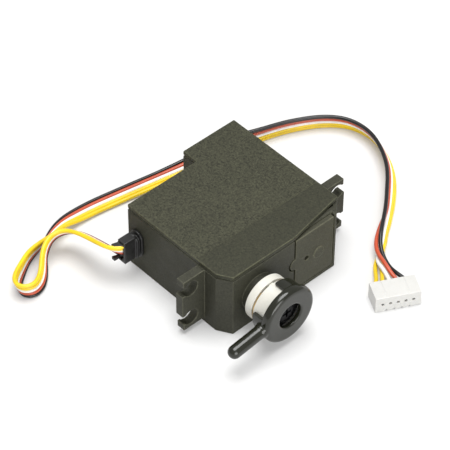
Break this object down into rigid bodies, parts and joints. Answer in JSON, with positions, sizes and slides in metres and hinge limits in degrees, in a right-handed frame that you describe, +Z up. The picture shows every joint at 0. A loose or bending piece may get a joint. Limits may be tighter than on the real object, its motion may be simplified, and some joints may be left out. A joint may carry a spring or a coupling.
{
  "type": "servo motor",
  "caption": "Flat rectangular servo with open mounting ears, a round lever on a spring-loaded servo saver, and a ribbon lead ending in a white plug.",
  "frame": {"origin": "centre of the servo's own box (lead and plug left out), at the surface that its wide side lies on", "axes": "+X along the output shaft out of the case, +Y across the case away from the lead's end face, +Z up out of the lid"},
  "size_m": [0.0835, 0.1069, 0.02],
  "materials": {
    "case_dark": "fine-textured dark charcoal moulding, slightly satin",
    "lid_grey": "fine-textured olive-grey moulding, satin",
    "panel_grey": "fine-textured charcoal moulding",
    "screw_steel": "zinc-plated steel, satin",
    "grommet_black": "black flexible moulding, matt",
    "plate_white": "natural white acetal, satin",
    "can_steel": "nickel-plated drawn steel, satin",
    "bell_black": "black moulding",
    "magnet_grey": "dull grey ferrite",
    "bush_bronze": "sintered bronze, satin",
    "brush_copper": "phosphor bronze strip, satin",
    "shaft_steel": "ground steel",
    "core_steel": "laminated steel",
    "winding_copper": "enamelled copper wire, glossy",
    "commutator_copper": "copper, satin",
    "pinion_brass": "cut brass, satin",
    "gear_white": "natural acetal, satin",
    "output_white": "glass-filled white nylon, satin",
    "pot_body": "blue phenolic moulding",
    "pot_track": "dark resistive film on board",
    "tin_plate": "tin-plated brass, satin",
    "wiper_gold": "spring bronze, satin",
    "yellow_wire": "yellow wire insulation, satin gloss",
    "pot_wire": "wire insulation, satin gloss",
    "saver_white": "white acetal, satin",
    "spring_gold": "gold-coloured spring wire",
    "washer_steel": "steel, satin",
    "horn_black": "black nylon, satin gloss",
    "ribbon_insulation": "bonded wire insulation; yellow, yellow, white, red and black, satin gloss",
    "plug_white": "natural white nylon, satin"
  },
  "bodies": {
    "case": {"case_tray": "case_dark", "case_lid": "lid_grey", "front_panel": "panel_grey", "case_screws": "screw_steel", "strain_relief": "grommet_black", "gear_plate": "plate_white", "motor_can": "can_steel", "motor_end_bell": "bell_black", "motor_magnets": "magnet_grey", "motor_bushes": "bush_bronze", "motor_brushes": "brush_copper", "motor_screws": "screw_steel", "long_idler_pin": "shaft_steel", "short_idler_pin": "shaft_steel", "output_bush": "bush_bronze", "pot_housing": "pot_body", "pot_track": "pot_track", "pot_terminals": "tin_plate", "motor_leads": "yellow_wire", "pot_leads": "pot_wire", "ribbon_cable": "ribbon_insulation", "plug_housing": "plug_white", "plug_contacts": "tin_plate"},
    "rotor": {"motor_shaft": "shaft_steel", "rotor_core": "core_steel", "rotor_windings": "winding_copper", "commutator": "commutator_copper", "motor_pinion": "pinion_brass"},
    "first_idler": {"first_idler_gear": "gear_white"},
    "second_idler": {"second_idler_gear": "gear_white"},
    "third_idler": {"third_idler_gear": "gear_white"},
    "output": {"output_gear": "output_white", "pot_rotor": "gear_white", "pot_wiper": "wiper_gold", "saver_hub": "saver_white", "saver_spring": "spring_gold", "saver_washer": "washer_steel", "horn_screw": "screw_steel"},
    "lever": {"lever_horn": "horn_black", "saver_collar": "saver_white"}
  },
  "joints": [
    {"name": "rotor_spin", "type": "hinge", "parent": "case", "child": "rotor", "pos_m": [-0.0215, 0.0117, 0.01], "axis": [1, 0, 0], "range_deg": [-3100, 3100]},
    {"name": "first_idler_spin", "type": "hinge", "parent": "case", "child": "first_idler", "pos_m": [-0.0215, 0.0021, 0.01], "axis": [1, 0, 0], "range_deg": [-815.9, 815.9]},
    {"name": "second_idler_spin", "type": "hinge", "parent": "case", "child": "second_idler", "pos_m": [-0.0215, 0.0117, 0.01], "axis": [1, 0, 0], "range_deg": [-272.1, 272.1]},
    {"name": "third_idler_spin", "type": "hinge", "parent": "case", "child": "third_idler", "pos_m": [-0.0215, 0.0021, 0.01], "axis": [1, 0, 0], "range_deg": [-123.8, 123.8]},
    {"name": "output_turn", "type": "hinge", "parent": "case", "child": "output", "pos_m": [-0.0215, -0.0094, 0.01], "axis": [1, 0, 0], "range_deg": [-60, 60]},
    {"name": "saver_flex", "type": "hinge", "parent": "output", "child": "lever", "pos_m": [-0.0215, -0.0094, 0.01], "axis": [1, 0, 0], "range_deg": [-25, 25], "stiffness_Nm_per_rad": 0.05}
  ],
  "couplings": [
    {"joint": "first_idler_spin", "follows": "rotor_spin", "ratio": -0.26316},
    {"joint": "second_idler_spin", "follows": "rotor_spin", "ratio": 0.087719},
    {"joint": "third_idler_spin", "follows": "rotor_spin", "ratio": -0.039872},
    {"joint": "output_turn", "follows": "rotor_spin", "ratio": 0.019293}
  ]
}
